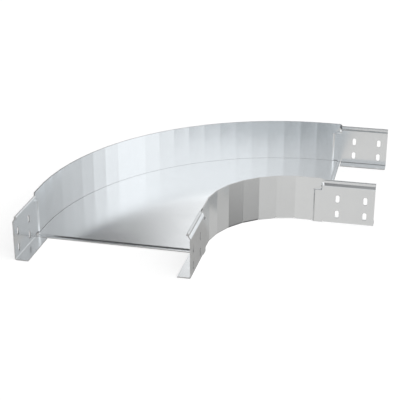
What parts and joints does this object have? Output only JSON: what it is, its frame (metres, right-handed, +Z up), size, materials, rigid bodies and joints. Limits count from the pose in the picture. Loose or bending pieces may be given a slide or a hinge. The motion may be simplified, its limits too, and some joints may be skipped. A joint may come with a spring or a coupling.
{
  "type": "cable tray bend",
  "caption": "Flat 90 degree bend for a cable tray: sheet floor between an inner and an outer faceted wall, with slotted stepped connectors at both ends.",
  "frame": {"origin": "middle of the part's outline in plan, on the level plane that its foot stands on", "axes": "+Z up out of the open channel; one end opens towards -Y and the other towards +X; the centre of the bend lies at x = +163 mm, y = -163 mm"},
  "size_m": [0.582, 0.582, 0.085],
  "materials": {
    "floor_plate": "smooth galvanised",
    "inner_wall": "smooth galvanised",
    "outer_wall": "smooth galvanised"
  },
  "bodies": {
    "root": {"floor_plate": "floor_plate", "inner_wall": "inner_wall", "outer_wall": "outer_wall"}
  },
  "joints": []
}
